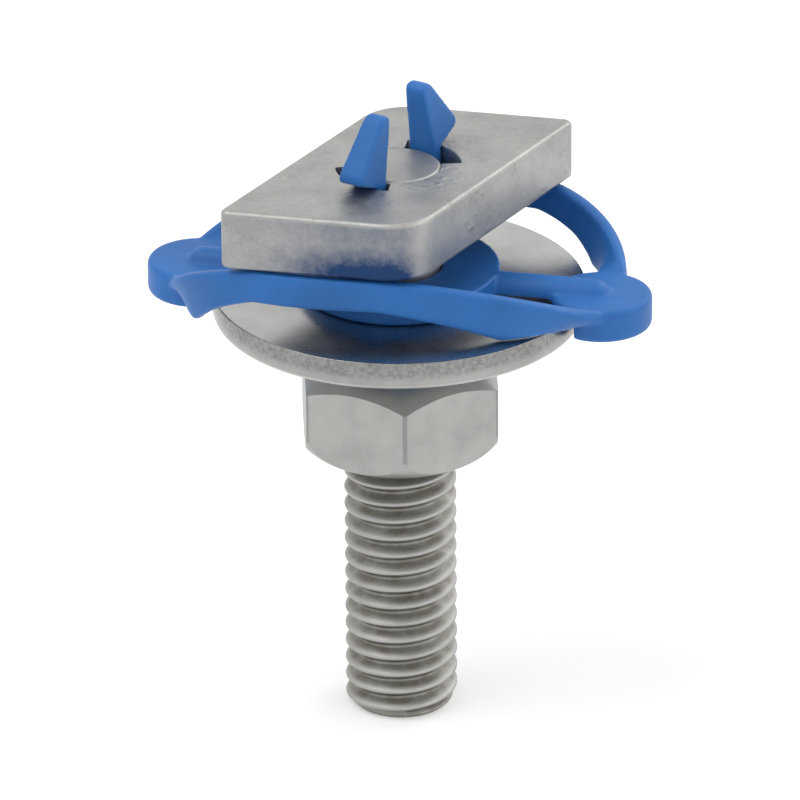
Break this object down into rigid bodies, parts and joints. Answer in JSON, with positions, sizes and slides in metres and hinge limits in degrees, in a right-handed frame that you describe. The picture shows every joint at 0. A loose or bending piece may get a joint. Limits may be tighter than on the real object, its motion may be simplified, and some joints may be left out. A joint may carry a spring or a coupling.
{
  "type": "t-head bolt",
  "caption": "T-head channel bolt: threaded stud with a parallelogram head plate, moulded spring clip with snap ears, wide washer and hex nut, for clamping to a mounting rail.",
  "frame": {"origin": "centre of the stud's free end face, on the surface that the bolt stands on", "axes": "+Z along the stud towards the head plate, +X along the spring clip and the head plate's short sides"},
  "size_m": [0.0266, 0.0194, 0.0346],
  "materials": {
    "stud_steel": "satin rolled thread",
    "head_steel": "satin, worn edges",
    "clip_plastic": "satin moulded",
    "washer_steel": "satin stamped",
    "nut_steel": "satin"
  },
  "bodies": {
    "bolt": {"stud": "stud_steel", "head_plate": "head_steel", "retaining_clip": "clip_plastic", "washer": "washer_steel"},
    "nut": {"hex_nut": "nut_steel"}
  },
  "joints": [
    {"name": "nut_turn", "type": "hinge", "parent": "bolt", "child": "nut", "pos_m": [0, 0, 0.0176], "axis": [0, 0, 1], "continuous": true}
  ]
}
